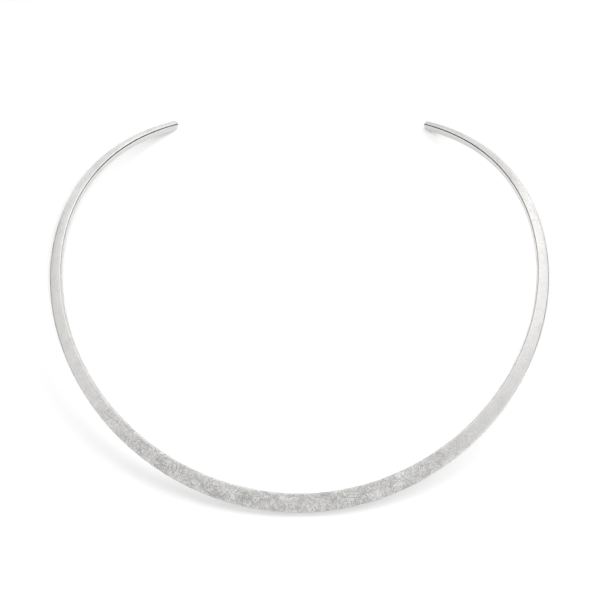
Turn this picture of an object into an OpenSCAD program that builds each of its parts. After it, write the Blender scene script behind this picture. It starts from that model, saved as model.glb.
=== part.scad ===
// Open collar necklace: one springy silver strip that goes round the neck
// and stops short of closing at the nape. It is widest at the middle of the
// front and narrows to both ends, while its thickness grows near the ends.
// Seen from the side it is a saddle, so on a table it stands on the lower
// edge of its front and on the heels of its two ends, with its sides raised.
// Millimetres, +Z up, the front faces -Y, the left and right are mirrored.

/* [Ring] */
// Radius of the strip's centre line, seen from above
ring_r = 67.5; // [60:0.5:75]
// How far front and back are pressed in, and the sides pushed out
ring_press = 1; // [-2:0.05:4]
// How far the front is flattened, and its shoulders pushed out
ring_shoulder = 0.15; // [-1:0.05:1.5]
// Angle round the neck from the middle of the front to each end
half_angle = 146.5; // [125:0.5:155]
// Height of the raised sides above the table
side_lift = 15; // [4:0.5:22]
// How far back the highest place lies: 1 is half way to the end
lift_lag = 1.7; // [1.3:0.05:2]

/* [Strip] */
// Width of the face at the middle of the front
front_w = 5.1; // [4:0.1:8]
// Width of the face at the ends
end_w = 1.85; // [1.6:0.05:3]
// Thickness of the strip at the middle of the front
front_t = 1.8; // [1.4:0.1:2.4]
// Thickness of the strip at the ends
end_t = 2.7; // [2:0.1:3]
// How late the thickness grows: 1 is evenly, more is nearer the ends
end_swell = 4; // [1:0.5:6]
// Share of the half length over which the front stays about full width
front_plateau = 0.12; // [0.05:0.01:0.4]
// Slope of the face at the front, falling outward, in degrees
front_lean = 26; // [5:1:40]
// Slope of the face at the ends, falling outward, in degrees
end_lean = 5; // [0:1:15]

/* [Edges] */
// Radius of the four long edges
edge_r = 0.45; // [0.2:0.05:0.5]
// Rounding of the tips, on their top and both sides
tip_r = 0.5; // [0.3:0.05:0.7]
// Rounding of the tips' underside, where they stand on the table
heel_r = 1; // [0.8:0.1:1.6]

/* [Smoothness] */
// Steps along the strip between its two heels
strip_steps = 150; // [60:2:200]
// Steps round each long edge
edge_steps = 3; // [2:1:4]
// Steps round each tip
tip_steps = 5; // [3:1:6]

/* [Hidden] */
silver = [0.80, 0.80, 0.79];

// Half the strip's length, and the part of it before the heel's rounding
half_length = ring_r * half_angle * PI / 180;
straight_length = half_length - heel_r;

// Small turn, in degrees, over which the strip's direction is read
turn = 0.1;

// The section's edge points: four corners of edge_steps + 1 points each
section_points = 4 * (edge_steps + 1);

function unit(v) = v / norm(v);

// Angle round the neck at a signed length along the strip
function angle_at(length) = half_angle * length / half_length;

// Share of the way from the front's middle, 0, to an end, 1
function share(angle) = abs(angle) / half_angle;

// Share of the width's change, from 0 to 1, level over the plateau
function taper(share) =
    (sqrt(share * share + front_plateau * front_plateau) - front_plateau)
    / (sqrt(1 + front_plateau * front_plateau) - front_plateau);

function face_width(angle) = front_w + (end_w - front_w) * taper(share(angle));
function thickness(angle) = front_t + (end_t - front_t) * pow(share(angle), end_swell);

// Slope of the face across the strip, which dies out towards the ends
function lean(angle) =
    end_lean + (front_lean - end_lean) * pow(cos(90 * min(1, share(angle))), 3);

// Height of the underside above the table: nothing at the front and ends
function lift(angle) = side_lift * sin(180 * pow(share(angle), lift_lag));

// Height of the strip's middle above its own lowest edge
function middle_height(angle) =
    (face_width(angle) / 2 - edge_r) * sin(lean(angle))
    + (thickness(angle) / 2 - edge_r) * cos(lean(angle))
    + edge_r;

function plan_radius(angle) =
    ring_r - ring_press * cos(2 * angle) - ring_shoulder * cos(3 * angle);

// Centre line of the strip
function centre(angle) =
    [plan_radius(angle) * sin(angle),
     -plan_radius(angle) * cos(angle),
     lift(angle) + middle_height(angle)];

// Directions at a station: along the strip, out from the neck, and up
function along(angle) = unit(centre(angle + turn) - centre(angle - turn));
function outward(angle) = unit(cross(along(angle), [0, 0, 1]));
function upward(angle) = cross(outward(angle), along(angle));

// How much a rounding of radius r takes off at a distance from the tip
function cut(r, distance) =
    distance >= r ? 0 : r - sqrt(r * r - pow(r - distance, 2));

// The section's outline, as [across, up] from the centre line
function section(width, top, bottom) =
    let (r = min(edge_r, 0.45 * min(width, top - bottom)),
         corners = [[width / 2 - r, top - r, 0],
                    [r - width / 2, top - r, 90],
                    [r - width / 2, bottom + r, 180],
                    [width / 2 - r, bottom + r, 270]])
    [for (corner = corners)
        for (k = [0 : edge_steps])
            let (a = corner[2] + 90 * k / edge_steps)
            [corner[0] + r * cos(a), corner[1] + r * sin(a)]];

// The section's outline in space, at a signed length along the strip
function station(length) =
    let (angle = angle_at(length),
         from_tip = half_length - abs(length),
         width = face_width(angle) - 2 * cut(tip_r, from_tip),
         top = thickness(angle) / 2 - cut(tip_r, from_tip),
         bottom = cut(heel_r, from_tip) - thickness(angle) / 2,
         out = outward(angle),
         up = upward(angle),
         across = cos(lean(angle)) * out - sin(lean(angle)) * up,
         square = sin(lean(angle)) * out + cos(lean(angle)) * up)
    [for (p = section(width, top, bottom))
        centre(angle) + p[0] * across + p[1] * square];

// Stations along the strip: close together round the tips, even between
tip_stops = [for (k = [0 : tip_steps - 1])
    heel_r * (1 - cos(90 * k / tip_steps))];
stops = concat(
    [for (s = tip_stops) s - half_length],
    [for (k = [0 : strip_steps]) straight_length * (2 * k / strip_steps - 1)],
    [for (k = [tip_steps - 1 : -1 : 0]) half_length - tip_stops[k]]);

bent = [for (s = stops) each station(s)];

// The lowest point of a list
function lowest(points) =
    let (low = min([for (p = points) p.z]))
    [for (p = points) if (p.z == low) p][0];

// The collar is laid down: turned until front and heels are level, then
// dropped on the table and centred over the origin
front_touch = lowest([for (p = bent) if (p.y < 0) p]);
heel_touch = lowest([for (p = bent) if (p.y > 0) p]);
settle = -atan2(heel_touch.z - front_touch.z, heel_touch.y - front_touch.y);
level = [for (p = bent)
    [p.x, p.y * cos(settle) - p.z * sin(settle), p.y * sin(settle) + p.z * cos(settle)]];
drop = min([for (p = level) p.z]);
depth_from = min([for (p = level) p.y]);
depth_to = max([for (p = level) p.y]);
laid = [for (p = level) p - [0, (depth_from + depth_to) / 2, drop]];

// Triangles of the skin between stations, and of the two tips' noses
n = section_points;
last = (len(stops) - 1) * n;
skin = [for (i = [0 : len(stops) - 2])
    for (j = [0 : n - 1])
        let (a = i * n + j, b = i * n + (j + 1) % n)
        each [[a, b, b + n], [a, b + n, a + n]]];
first_nose = [for (j = [1 : n - 2]) [0, j + 1, j]];
last_nose = [for (j = [1 : n - 2]) [last, last + j, last + j + 1]];

// The whole collar, forged from one piece of silver
module collar() {
    color(silver)
    polyhedron(points = laid, faces = concat(skin, first_nose, last_nose), convexity = 6);
}

collar();
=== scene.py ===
# %% [markdown]
# An open collar necklace is one springy strip of silver, bent round the neck. This lesson dresses the
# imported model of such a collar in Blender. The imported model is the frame: it fixes where the collar lies
# and how big it is, and everything here is made around it, in metres.

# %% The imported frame
import math

import bpy
import numpy as np
from mathutils import Matrix, Vector


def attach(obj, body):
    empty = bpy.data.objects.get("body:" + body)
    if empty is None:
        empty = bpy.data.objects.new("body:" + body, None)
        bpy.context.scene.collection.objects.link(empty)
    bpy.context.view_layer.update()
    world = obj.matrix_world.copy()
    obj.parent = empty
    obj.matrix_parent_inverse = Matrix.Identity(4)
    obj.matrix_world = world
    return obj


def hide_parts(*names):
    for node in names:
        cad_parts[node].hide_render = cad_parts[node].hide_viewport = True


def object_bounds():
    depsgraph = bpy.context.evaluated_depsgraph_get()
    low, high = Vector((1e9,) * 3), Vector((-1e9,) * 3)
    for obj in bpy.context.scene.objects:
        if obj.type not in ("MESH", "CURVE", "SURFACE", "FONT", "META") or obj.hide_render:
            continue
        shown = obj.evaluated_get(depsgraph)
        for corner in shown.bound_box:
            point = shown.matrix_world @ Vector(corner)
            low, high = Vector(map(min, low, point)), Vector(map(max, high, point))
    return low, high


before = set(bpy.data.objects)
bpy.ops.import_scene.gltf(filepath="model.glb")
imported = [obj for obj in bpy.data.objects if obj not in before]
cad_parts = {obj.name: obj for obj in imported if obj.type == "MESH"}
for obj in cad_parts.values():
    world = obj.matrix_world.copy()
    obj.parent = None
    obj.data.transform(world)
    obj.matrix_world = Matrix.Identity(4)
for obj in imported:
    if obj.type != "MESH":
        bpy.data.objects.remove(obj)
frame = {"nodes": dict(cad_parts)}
cad_low, cad_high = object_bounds()
mm = 0.001
print("packed pieces:", ", ".join(frame["nodes"]))
print("packed collar, mm:", [round(v / mm, 1) for v in cad_high - cad_low])

# %% [markdown]
# The photograph looks down at the table from the front, at about 62 degrees, through a long lens. A camera
# could be placed by eye, but here its angles come from matching the collar's two edges, so they are kept as
# named values. It looks at the middle of the collar from 0.7 m, which is far enough to keep the ring's
# perspective as weak as in the photograph. Directions are given in degrees round the collar and above the
# table: 0 is straight behind the collar, 90 is to its right and 180 is in front of it.

# %% Camera
camera_azimuth = 178.5
camera_elevation = 62.0
camera_roll = -1.25
camera_distance = 0.700
aim = Vector((0.17 * mm, 0.0, 7.15 * mm))
frame_pixels = 600
pixels_per_mm = 3.527
sensor_mm = 36.0
nearest_seen = 0.01
furthest_seen = 20.0


def towards(azimuth, elevation):
    turn = math.radians(azimuth)
    rise = math.radians(elevation)
    return Vector((math.sin(turn) * math.cos(rise), math.cos(turn) * math.cos(rise), math.sin(rise)))


def add_camera():
    towards_camera = towards(camera_azimuth, camera_elevation)
    data = bpy.data.cameras.new("photo_camera")
    data.sensor_width = sensor_mm
    data.lens = sensor_mm * pixels_per_mm * (camera_distance / mm) / frame_pixels
    data.clip_start = nearest_seen
    data.clip_end = furthest_seen
    camera = bpy.data.objects.new("photo_camera", data)
    bpy.context.scene.collection.objects.link(camera)
    turn = (-towards_camera).to_track_quat("-Z", "Y").to_matrix()
    roll = Matrix.Rotation(math.radians(camera_roll), 3, "Z")
    place = (turn @ roll).to_4x4()
    place.translation = aim + towards_camera * camera_distance
    camera.matrix_world = place
    bpy.context.scene.camera = camera
    return camera


camera = add_camera()
print("lens, mm:", round(camera.data.lens, 1))

# %% [markdown]
# The strip starts as thin bar stock. Forging spreads it at the front, so it is 5.1 mm wide and 1.8 mm thick
# there, and it is left taller than it is wide, 1.85 by 2.7 mm, at the tips. A curve with a bevel could sweep
# it, but a bevel can't change its form on its way, so the strip is lofted: one outline for each station
# along it. These sizes, in millimetres and degrees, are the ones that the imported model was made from. Only
# the crown is added here: a filed face is never quite flat, and 0.06 mm softens what it mirrors.

# %% Sizes of the strip
ring_r = 67.5
ring_press = 1.0
ring_shoulder = 0.15
half_angle = 146.5
side_lift = 15.0
lift_lag = 1.7
front_w = 5.1
end_w = 1.85
front_t = 1.8
end_t = 2.7
end_swell = 4.0
front_plateau = 0.12
front_lean = 26.0
end_lean = 5.0
face_crown = 0.06
edge_r = 0.45
tip_r = 0.5
heel_r = 1.0

half_length = ring_r * math.radians(half_angle)
print("length of the strip, mm:", round(2 * half_length, 1))

# %% [markdown]
# Four things change along the strip: its width, which narrows evenly to the tips, its thickness, which only
# grows near the tips, the slope of its face, which falls outward at the front so that it lies on the
# collarbone, and its height over the table. Each could be a list of sizes measured at many stations, but a
# short formula can be read and changed. All take the share of the way from the front, 0, to a tip, 1.

# %% How the strip changes from front to tip
def face_width(share):
    fall = math.sqrt(share * share + front_plateau ** 2) - front_plateau
    whole_fall = math.sqrt(1 + front_plateau ** 2) - front_plateau
    return front_w + (end_w - front_w) * fall / whole_fall


def thickness(share):
    return front_t + (end_t - front_t) * share ** end_swell


def lean(share):
    still_leaning = math.cos(math.pi / 2 * min(1, share)) ** 3
    return math.radians(end_lean + (front_lean - end_lean) * still_leaning)


def lift(share):
    return side_lift * math.sin(math.pi * share ** lift_lag)


print("face width at front, half way and tip, mm:", [round(face_width(share), 2) for share in (0, 0.5, 1)])

# %% [markdown]
# The strip's centre line is nearly a circle, pressed in a little at front and back, as a neck is. It rises
# to the sides and comes down again to the tips, so the collar is a saddle. A curve could be drawn over the
# photograph, but it would copy the camera's foreshortening, and this line is the real one in space. Where
# the face slopes, the strip's middle stands higher above its lowest edge, and the line allows for that.

# %% The centre line
def middle_height(share):
    from_width = (face_width(share) / 2 - edge_r) * math.sin(lean(share))
    from_thickness = (thickness(share) / 2 - edge_r) * math.cos(lean(share))
    return from_width + from_thickness + edge_r


def centre(angle):
    share = abs(angle) / half_angle
    turn = math.radians(angle)
    radius = ring_r - ring_press * math.cos(2 * turn) - ring_shoulder * math.cos(3 * turn)
    height = lift(share) + middle_height(share)
    return Vector((radius * math.sin(turn), -radius * math.cos(turn), height))


print("centre line across the sides, mm:", round(2 * centre(90).x, 1))

# %% [markdown]
# The strip's section is a rounded rectangle. The long edges are worked over with a file and a felt wheel, so
# they are round and smooth, and they give the thin bright and dark lines along the strip. A bevel modifier
# could round them, but then nothing would tell the finish where the edges are. So the outline itself gets
# many points round each edge, and a pair close to each end of the flat sides, so that smooth shading keeps
# the sides flat. An edge takes at most 0.45 of the section's smaller side.

# %% The outline of the section
corner_steps = 8
face_steps = 6
flat_guard = 0.04
largest_rounding = 0.45


def rounded_outline(width, top, bottom):
    radius = min(edge_r, largest_rounding * min(width, top - bottom))
    corners = [
        (width / 2 - radius, top - radius, 0),
        (radius - width / 2, top - radius, 90),
        (radius - width / 2, bottom + radius, 180),
        (width / 2 - radius, bottom + radius, 270),
    ]
    arcs = []
    for x, y, start in corners:
        turns = [math.radians(start + 90 * step / corner_steps) for step in range(corner_steps + 1)]
        arcs.append([Vector((x + radius * math.cos(turn), y + radius * math.sin(turn))) for turn in turns])
    shares = [flat_guard] + [step / face_steps for step in range(1, face_steps)] + [1 - flat_guard]
    outline = []
    for side, arc in enumerate(arcs):
        after = arcs[(side + 1) % 4][0]
        crown = face_crown if side == 0 else 0.0
        outline += arc
        for share in shares:
            outline.append(arc[-1].lerp(after, share) + Vector((0, 4 * crown * share * (1 - share))))
    return outline


outline_points = len(rounded_outline(front_w, front_t / 2, -front_t / 2))
print("points round the strip:", outline_points)

# %% [markdown]
# Each station sets the outline square to the strip and turns it by the slope of the face. Near the tips the
# outline shrinks along a quarter circle, which rounds them, most of all underneath, where the heel stands on
# the table. Spheres stuck on the ends would be quicker, but they would leave a seam in the finish.

# %% One station of the strip
small_turn = 0.1


def cut(radius, distance):
    if distance >= radius:
        return 0
    return radius - math.sqrt(radius * radius - (radius - distance) ** 2)


def station(length):
    angle = half_angle * length / half_length
    share = abs(angle) / half_angle
    along = (centre(angle + small_turn) - centre(angle - small_turn)).normalized()
    outward = along.cross(Vector((0, 0, 1))).normalized()
    upward = outward.cross(along)
    across = math.cos(lean(share)) * outward - math.sin(lean(share)) * upward
    square = math.sin(lean(share)) * outward + math.cos(lean(share)) * upward
    from_tip = half_length - abs(length)
    width = face_width(share) - 2 * cut(tip_r, from_tip)
    top = thickness(share) / 2 - cut(tip_r, from_tip)
    bottom = cut(heel_r, from_tip) - thickness(share) / 2
    outline = rounded_outline(width, top, bottom)
    return [centre(angle) + point.x * across + point.y * square for point in outline], outline


front_outline = station(0)[1]
print("width of the section at the front, mm:", round(2 * max(point.x for point in front_outline), 2))

# %% [markdown]
# The stations crowd together on the rounding of the tips and are even in between. The loft then joins each
# outline to the next with a band of four-sided faces, and closes each tip with one small end face. Blender
# can bridge such outlines by itself, but here the order of the faces is known, and the finish needs it.

# %% The loft
strip_steps = 420
tip_steps = 9


def station_lengths():
    straight = half_length - heel_r
    rounding = [heel_r * (1 - math.cos(math.pi / 2 * step / tip_steps)) for step in range(tip_steps)]
    even = [straight * (2 * step / strip_steps - 1) for step in range(strip_steps + 1)]
    first_tip = [stop - half_length for stop in rounding]
    last_tip = [half_length - stop for stop in reversed(rounding)]
    return first_tip + even + last_tip


def loft():
    lengths = station_lengths()
    stations = [station(length) for length in lengths]
    points = np.array([point for ring, _ in stations for point in ring])
    outlines = [outline for _, outline in stations]
    faces = []
    for i in range(len(lengths) - 1):
        for j in range(outline_points):
            here = i * outline_points + j
            beside = i * outline_points + (j + 1) % outline_points
            faces.append((here, beside, beside + outline_points, here + outline_points))
    last = (len(lengths) - 1) * outline_points
    faces.append(tuple(reversed(range(outline_points))))
    faces.append(tuple(range(last, last + outline_points)))
    return points, faces, lengths, outlines


points, faces, lengths, outlines = loft()
print("stations:", len(lengths), "faces:", len(faces))

# %% [markdown]
# Laid on a table, the collar finds its own rest: it turns until the lower edge of the front and the two
# heels all touch. A rigid body simulation would find the same rest, but three touching points are enough to
# work it out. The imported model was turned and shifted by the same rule, so the lofted strip must fill the
# same box, and the printed difference shows that it does.

# %% Laying the collar down
def lay_down(points):
    front = points[points[:, 1] < 0]
    back = points[points[:, 1] > 0]
    front_touch = front[front[:, 2].argmin()]
    heel_touch = back[back[:, 2].argmin()]
    rise = heel_touch - front_touch
    settle = -math.atan2(rise[2], rise[1])
    print("turn to rest, degrees:", round(math.degrees(settle), 2))
    turned = points @ np.array(Matrix.Rotation(settle, 3, "X")).T
    low, high = turned.min(axis=0), turned.max(axis=0)
    return (turned - [0, (low[1] + high[1]) / 2, low[2]]) * mm


points = lay_down(points)
off = np.abs(np.array([points.min(axis=0), points.max(axis=0)]) - np.array([cad_low, cad_high])).max()
print("off the packed box, mm:", round(off / mm, 3))

# %% [markdown]
# The finish is scratched on, so it has to follow the strip like the hand that made it. For that, each point
# of an outline gets its length round the strip, measured from the middle of the face. An unwrapped UV map
# would give places too, but in its own scale, and here a millimetre on the strip stays a millimetre in the
# finish. The seam, where the length jumps, runs along the top of the outer wall.

# %% Lengths round the strip
points_per_corner = corner_steps + 1 + face_steps + 1
face_middle = corner_steps + 1 + (face_steps + 1) // 2


def around_lengths(outline):
    around = [0.0]
    for j in range(outline_points):
        after = outline[(j + 1) % outline_points]
        around.append(around[-1] + (after - outline[j]).length)
    return [length - around[face_middle] for length in around]


around = [around_lengths(outline) for outline in outlines]
front_around = around[len(lengths) // 2]
print("round the strip at the front, mm:", round(front_around[-1] - front_around[0], 2))

# %% [markdown]
# Now the collar becomes a mesh. Every face corner keeps where it lies on the strip unrolled flat, as its
# length along the strip and its length round it, with a 1 in third place on the two end faces, which only
# tells them apart. A second value is 1 on the rounded edges and the end faces, and 0 on the flats. A mask
# could be painted by hand, but the mesh knows where its edges are. The edges are rubbed and painted brighter
# at the sides, partly wear and partly a painted sheen, and are smoother near the tips.

# %% The collar's mesh
def unrolled_places():
    on_edge = [1.0 if j % points_per_corner <= corner_steps else 0.0 for j in range(outline_points)] + [1.0]
    places, edges = [], []
    for i in range(len(lengths) - 1):
        for j in range(outline_points):
            for di, dj in ((0, 0), (0, 1), (1, 1), (1, 0)):
                places += [lengths[i + di], around[i + di][j + dj], 0.0]
                edges.append(on_edge[j + dj])
    for tip, order in ((0, reversed(range(outline_points))), (-1, range(outline_points))):
        for j in order:
            places += [lengths[tip], around[tip][j], 1.0]
            edges.append(1.0)
    return places, edges


def build_collar():
    mesh = bpy.data.meshes.new("collar")
    mesh.from_pydata(points.tolist(), [], faces)
    places, edges = unrolled_places()
    mesh.attributes.new("unrolled", "FLOAT_VECTOR", "CORNER").data.foreach_set("vector", places)
    # a mask of the rounded edges: it sets their roughness and the painted sheen that partly stands for wear
    mesh.attributes.new("edge_wear_and_sheen", "FLOAT", "CORNER").data.foreach_set("value", edges)
    mesh.shade_smooth()
    obj = bpy.data.objects.new("silver_collar", mesh)
    bpy.context.scene.collection.objects.link(obj)
    return obj


collar = build_collar()
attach(collar, "root")
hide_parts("collar")
print("triangles:", sum(len(face.vertices) - 2 for face in collar.data.polygons))
kept = [name for name in ("unrolled", "edge_wear_and_sheen") if name in collar.data.attributes]
print("values kept on the mesh:", kept)

# %% [markdown]
# Shading is built from a few small helpers, which keep the long chains of nodes short to read: one that
# gives a socket its number or its link, one for arithmetic, one that remaps a value from one range to
# another, one for a soft step between two limits, and one that reads a value from the mesh. The same nodes
# could be wired by hand in the editor, but then the sums behind the finish couldn't be read.

# %% Helpers for shading
def wire(tree, socket, value):
    if isinstance(value, (int, float)):
        socket.default_value = value
    else:
        tree.links.new(value, socket)


def calculate(tree, operation, *values):
    node = tree.nodes.new("ShaderNodeMath")
    node.operation = operation
    for socket, value in zip(node.inputs, values):
        wire(tree, socket, value)
    return node.outputs[0]


def remap(tree, value, start, end, low, high, kind="LINEAR"):
    node = tree.nodes.new("ShaderNodeMapRange")
    node.interpolation_type = kind
    names = ("Value", "From Min", "From Max", "To Min", "To Max")
    for name, given in zip(names, (value, start, end, low, high)):
        wire(tree, node.inputs[name], given)
    return node.outputs[0]


def soft_step(tree, value, start, end):
    return remap(tree, value, start, end, 0.0, 1.0, "SMOOTHSTEP")


def mesh_value(tree, name, output):
    node = tree.nodes.new("ShaderNodeAttribute")
    node.attribute_name = name
    return node.outputs[output]


# %% [markdown]
# Silver with a scratch-matt finish is rubbed by hand with coarse emery or a diamond bit. Each stroke is a
# short, fine, nearly straight groove that tapers to nothing at both ends. A Voronoi pattern squeezed across
# one direction gives one long, pointed spot per cell, which is the form of such a stroke, and the cell's
# random colour makes it faint or deep. Noise can't do this, because its streaks have no ends. The distances
# are shares of a cell: a groove starts at 0.36 from the cell's middle and is full depth at 0.08.

# %% One bundle of strokes
groove_rim = 0.36
groove_floor = 0.08
blank_below = 0.30
faintest = 0.05
deepest = 1.3
shift_along = 13.7
shift_round = 29.3


def strokes(tree, place, number, turn, length, width):
    lay = tree.nodes.new("ShaderNodeMapping")
    lay.vector_type = "TEXTURE"
    lay.inputs["Location"].default_value = (shift_along * number, shift_round * number, 0.0)
    lay.inputs["Rotation"].default_value = (0.0, 0.0, math.radians(turn))
    lay.inputs["Scale"].default_value = (length, width, 1.0)
    tree.links.new(place, lay.inputs["Vector"])
    cells = tree.nodes.new("ShaderNodeTexVoronoi")
    cells.voronoi_dimensions = "2D"
    cells.inputs["Scale"].default_value = 1.0
    cells.inputs["Randomness"].default_value = 1.0
    tree.links.new(lay.outputs[0], cells.inputs["Vector"])
    groove = soft_step(tree, cells.outputs["Distance"], groove_rim, groove_floor)
    chance = tree.nodes.new("ShaderNodeSeparateColor")
    tree.links.new(cells.outputs["Color"], chance.inputs[0])
    depth = remap(tree, chance.outputs[0], blank_below, 1.0, faintest, deepest)
    return groove, depth


print("share of its cell that a stroke fills, each way:", 2 * groove_rim)

# %% [markdown]
# A hand doesn't scratch evenly: here and there one direction comes out a little stronger than the rest. A
# slow noise, with patches of about 9 mm, gives each bundle of strokes such places of its own. Stronger
# patches would show as clumps, which the real face doesn't have, so the difference is small.

# %% Stronger and fainter patches
patch_size = 9.0
patch_limits = (0.42, 0.58)
patch_depths = (0.85, 1.10)
patch_shift = 7.3


def patches(tree, place, number):
    noise = tree.nodes.new("ShaderNodeTexNoise")
    noise.noise_dimensions = "4D"
    noise.inputs["W"].default_value = patch_shift * number
    noise.inputs["Scale"].default_value = 1 / patch_size
    noise.inputs["Detail"].default_value = 0.0
    tree.links.new(place, noise.inputs["Vector"])
    return remap(tree, noise.outputs[0], *patch_limits, *patch_depths, "SMOOTHSTEP")


print("patches change the strokes by a factor of:", patch_depths)

# %% [markdown]
# The face is covered in eleven bundles, each with its own direction, and they cross all over it. Most
# strokes are painted darker than the metal round them, as painted shade in the grooves with some dirt in
# them, and some are painted brighter, as painted glints. One pattern of crossing lines would repeat itself,
# and eleven that don't fit together never do. Two sums are made of them: how deep the metal is grooved at a
# place, and how much darker or brighter its colour is painted there.

# %% All bundles together
# direction in degrees, length and width of a stroke's cell in millimetres, change of painted tone: -1
# painted shade, 0.55 painted glint
bundles = [
    (12, 7.2, 0.25, -1.0),
    (38, 6.6, 0.25, -1.0),
    (62, 5.8, 0.26, -1.0),
    (88, 5.0, 0.25, -1.0),
    (118, 5.4, 0.26, -1.0),
    (142, 6.2, 0.25, -1.0),
    (168, 7.6, 0.25, -1.0),
    (26, 6.8, 0.25, 0.55),
    (74, 5.2, 0.25, 0.55),
    (105, 5.6, 0.25, 0.55),
    (153, 7.0, 0.25, 0.55),
]


def scratches(tree, place):
    grooves, tone = 0.0, 0.0
    for number, (turn, length, width, change) in enumerate(bundles):
        groove, depth = strokes(tree, place, number, turn, length, width)
        here = calculate(tree, "MULTIPLY", depth, patches(tree, place, number))
        bundle = calculate(tree, "MULTIPLY", groove, here)
        grooves = calculate(tree, "ADD", grooves, bundle)
        tone = calculate(tree, "MULTIPLY_ADD", bundle, change, tone)
    return grooves, tone


print("strokes, mm long:", [round(2 * groove_rim * length, 1) for _, length, _, _ in bundles])

# %% [markdown]
# The scratches are strongest on the wide front, a little left of its middle, and fade to a fifth on the
# narrow sides, where the silver looks nearly plain. Near the tips it is smoother still. Both changes could
# go by the place in the room, but they follow the length along the strip, because the hand did too.

# %% How the finish changes along the strip
scratched_middle = -6.0
scratched_limits = (32.0, 68.0)
scratched_sides = 0.20
tip_limits = (102.0, 130.0)


def along_strip(tree, place):
    split = tree.nodes.new("ShaderNodeSeparateXYZ")
    tree.links.new(place, split.inputs[0])
    length = split.outputs["X"]
    from_middle = calculate(tree, "ABSOLUTE", calculate(tree, "SUBTRACT", length, scratched_middle))
    scratched = remap(tree, from_middle, *scratched_limits, 1.0, scratched_sides, "SMOOTHSTEP")
    near_tip = soft_step(tree, calculate(tree, "ABSOLUTE", length), *tip_limits)
    return scratched, near_tip


print("fully scratched length, mm:", 2 * scratched_limits[0])

# %% [markdown]
# The strokes change the silver in three ways. They are grooves about a hundredth of a millimetre deep, given
# by a bump, because grooves this fine in the mesh would take millions of faces. They paint the colour
# between a dark tone, painted shade in the grooves with some dirt, and a bright one, painted glints, with
# plain silver half way. And they make it a little rougher. The edges carry the same strokes, but away from
# the front they are rubbed and painted brighter, partly wear and partly a painted sheen, and towards the
# tips they are smooth.
# Each roughness is a pair: its value from the front to the sides, and its value towards the tips.

# %% Scratched silver
# darkest tone: painted shade in the grooves with some dirt; brightest: painted glints; plain silver half way
silver_glint = 0.900
silver_groove_shade = 0.355
silver_tint = (1.01, 1.0, 0.98)
# how much brighter the edges are painted: a painted sheen, partly wear
edge_sheen_gain = 0.06
groove_depth = 0.012
groove_rougher = 0.08
face_roughness = (0.32, 0.18)
edge_roughness = (0.30, 0.11)


def scratched_silver():
    material = bpy.data.materials.new("scratched_silver")
    material.use_nodes = True
    tree = material.node_tree
    shader = tree.nodes["Principled BSDF"]
    shader.inputs["Metallic"].default_value = 1.0
    place = mesh_value(tree, "unrolled", "Vector")
    on_edge = mesh_value(tree, "edge_wear_and_sheen", "Fac")
    scratched, near_tip = along_strip(tree, place)
    grooves, tone = scratches(tree, place)
    grooves = calculate(tree, "MULTIPLY", grooves, scratched)
    tone = calculate(tree, "MULTIPLY", tone, scratched)

    # painted shade and painted glints: the strokes move the colour between the two tones
    shade = remap(tree, tone, -1.0, 1.0, silver_groove_shade, silver_glint)
    # painted sheen, partly wear: edges away from the scratched front get a brighter colour
    wear_and_sheen = calculate(tree, "MULTIPLY", on_edge, calculate(tree, "SUBTRACT", 1.0, scratched))
    shade = calculate(tree, "MULTIPLY_ADD", wear_and_sheen, edge_sheen_gain, shade)
    colour = tree.nodes.new("ShaderNodeCombineColor")
    for name, share in zip(("Red", "Green", "Blue"), silver_tint):
        wire(tree, colour.inputs[name], calculate(tree, "MULTIPLY", shade, share))
    wire(tree, shader.inputs["Base Color"], colour.outputs[0])

    face_rough = remap(tree, near_tip, 0.0, 1.0, *face_roughness)
    face_rough = calculate(tree, "MULTIPLY_ADD", grooves, groove_rougher, face_rough)
    edge_rough = remap(tree, near_tip, 0.0, 1.0, *edge_roughness)
    wire(tree, shader.inputs["Roughness"], remap(tree, on_edge, 0.0, 1.0, face_rough, edge_rough))

    bump = tree.nodes.new("ShaderNodeBump")
    bump.invert = True
    bump.inputs["Strength"].default_value = 1.0
    bump.inputs["Distance"].default_value = groove_depth * mm
    wire(tree, bump.inputs["Height"], grooves)
    wire(tree, shader.inputs["Normal"], bump.outputs[0])
    return material


silver = scratched_silver()
collar.data.materials.append(silver)
print("nodes in the silver:", len(silver.node_tree.nodes))

# %% [markdown]
# Bare metal shows nothing but what it mirrors, so the studio round the collar is drawn as what the silver
# sees. Panels of light could stand round the table, but they would have to be moved for every change, and a
# sky that is bright or dark by direction does the same. First come its soft round places: one that is dimmer
# round the camera, a wide glow high at the back right, and three low windows behind, which the back of the
# collar mirrors.

# %% Soft places in the room
# azimuth and elevation, radius of the rim and of the full light, all in degrees, and change of light
room_places = [
    (158, 64, 37, 14, -0.22),
    (36, 58, 33, 16, 0.40),
    (22, 24, 14, 7, 0.34),
    (-20, 26, 15, 7, 0.20),
    (3, 14, 14, 6, 0.25),
]


def round_place(tree, look, azimuth, elevation, rim, full):
    facing = tree.nodes.new("ShaderNodeVectorMath")
    facing.operation = "DOT_PRODUCT"
    tree.links.new(look, facing.inputs[0])
    facing.inputs[1].default_value = towards(azimuth, elevation)
    start = math.cos(math.radians(rim))
    end = math.cos(math.radians(full))
    return soft_step(tree, facing.outputs["Value"], start, end)


print("soft places in the room:", len(room_places))

# %% [markdown]
# Low at both sides the room is dark. Only the rounded edges look that way, and the inner one turns it into
# the fine dark line that runs along the back half of the ring. A dark material on the edge would give a line
# too, but it would stay when the collar is seen from elsewhere, and a mirrored one moves. The limits are
# parts of the direction: how far aside, how far up, how much more back than up, and how far back.

# %% Dark low sides
side_limits = (0.38, 0.55)
height_limits = (0.72, 0.56)
behind_limits = (0.24, 0.08)
front_limits = (-0.26, -0.02)


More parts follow.
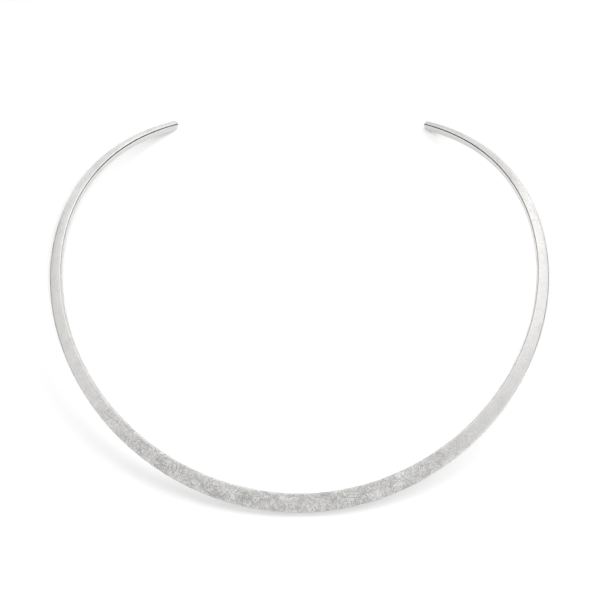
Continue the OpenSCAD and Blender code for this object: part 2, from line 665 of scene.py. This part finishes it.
def dark_sides(tree, split):
    right, back, up = split.outputs["X"], split.outputs["Y"], split.outputs["Z"]
    dark = soft_step(tree, calculate(tree, "ABSOLUTE", right), *side_limits)
    low = soft_step(tree, up, *height_limits)
    not_behind = soft_step(tree, calculate(tree, "SUBTRACT", back, up), *behind_limits)
    not_in_front = soft_step(tree, back, *front_limits)
    for limit in (low, not_behind, not_in_front):
        dark = calculate(tree, "MULTIPLY", dark, limit)
    return dark


print("dark below an elevation of about, degrees:", round(math.degrees(math.asin(sum(height_limits) / 2))))

# %% [markdown]
# The rest of the room is pale, a little brighter to the right, and dimmer towards the table, as a white
# tent over a table is. A picture of a real studio could stand in for it, but a few sums can be read and
# tuned. The camera itself sees only a plain white, so that the places drawn for the silver never show.

# %% The room
room_pale = 1.17
room_tilt = 0.14
low_dimmer = 0.19
dimmer_heights = (0.25, 0.80)
room_dark = 0.02
white_behind = 0.9


def add_room():
    world = bpy.data.worlds.new("room")
    bpy.context.scene.world = world
    world.use_nodes = True
    tree = world.node_tree
    look = tree.nodes.new("ShaderNodeTexCoord").outputs["Generated"]
    split = tree.nodes.new("ShaderNodeSeparateXYZ")
    tree.links.new(look, split.inputs[0])
    light = calculate(tree, "MULTIPLY_ADD", split.outputs["X"], room_tilt, room_pale)
    dimmer = remap(tree, split.outputs["Z"], *dimmer_heights, low_dimmer, 0.0, "SMOOTHSTEP")
    light = calculate(tree, "SUBTRACT", light, dimmer)
    for azimuth, elevation, rim, full, change in room_places:
        place = round_place(tree, look, azimuth, elevation, rim, full)
        light = calculate(tree, "MULTIPLY_ADD", place, change, light)
    mirrored = remap(tree, dark_sides(tree, split), 0.0, 1.0, light, room_dark)
    to_camera = tree.nodes.new("ShaderNodeLightPath").outputs["Is Camera Ray"]
    background = tree.nodes["Background"]
    background.inputs["Color"].default_value = (1, 1, 1, 1)
    wire(tree, background.inputs["Strength"], remap(tree, to_camera, 0.0, 1.0, mirrored, white_behind))
    return world


room = add_room()
print("nodes in the room:", len(room.node_tree.nodes))

# %% [markdown]
# The collar lies on a plain white table. It is matt and has no gloss, so that it takes only the soft
# shadows, and it is 8 m wide, so that its edges stay out of the picture. A bent paper backdrop would hide a
# horizon, but the camera looks down too steeply to see one.

# %% The table
table_white = 0.36
table_half = 4.0


def add_table():
    mesh = bpy.data.meshes.new("table")
    corners = [(x * table_half, y * table_half, 0) for x, y in ((-1, -1), (1, -1), (1, 1), (-1, 1))]
    mesh.from_pydata(corners, [], [(0, 1, 2, 3)])
    obj = bpy.data.objects.new("table", mesh)
    bpy.context.scene.collection.objects.link(obj)
    material = bpy.data.materials.new("white_table")
    material.use_nodes = True
    shader = material.node_tree.nodes["Principled BSDF"]
    shader.inputs["Base Color"].default_value = (table_white, table_white, table_white, 1)
    shader.inputs["Roughness"].default_value = 1.0
    shader.inputs["Specular IOR Level"].default_value = 0.0
    mesh.materials.append(material)
    return obj


table = add_table()
print("table, m:", [round(side, 1) for side in table.dimensions])

# %% [markdown]
# Three soft lamps light the table, and the silver doesn't mirror them. The large one at the back right gives
# the wide faint shadows that fall to the front left. A small one stands at the camera, where the collar
# hides the shadow that it makes. The last hangs low over the gap between the tips and adds a little light
# there. One large lamp could light it all, but its shadows would be darker than the photograph's.

# %% Three soft lamps
back_distance = 1.2

# name, place, size across in metres, watts
lamps = [
    ("lamp_back_right", back_distance * towards(55, 41), 1.20, 16.9),
    ("lamp_at_camera", camera_distance * towards(camera_azimuth, camera_elevation), 0.10, 6.2),
    ("lamp_over_tips", Vector((0.0, 0.05, 0.13)), 0.14, 0.165),
]


def add_soft_lamp(name, place, size, watts):
    data = bpy.data.lights.new(name, "AREA")
    data.shape = "DISK"
    data.size = size
    data.energy = watts
    lamp = bpy.data.objects.new(name, data)
    lamp.location = place
    lamp.rotation_euler = lamp.location.to_track_quat("Z", "Y").to_euler()
    lamp.visible_glossy = False
    lamp.visible_camera = False
    bpy.context.scene.collection.objects.link(lamp)
    print(name, "from the middle of the table, m:", round(lamp.location.length, 2))


for name, place, size, watts in lamps:
    add_soft_lamp(name, place, size, watts)
bpy.context.scene.view_settings.view_transform = "Standard"
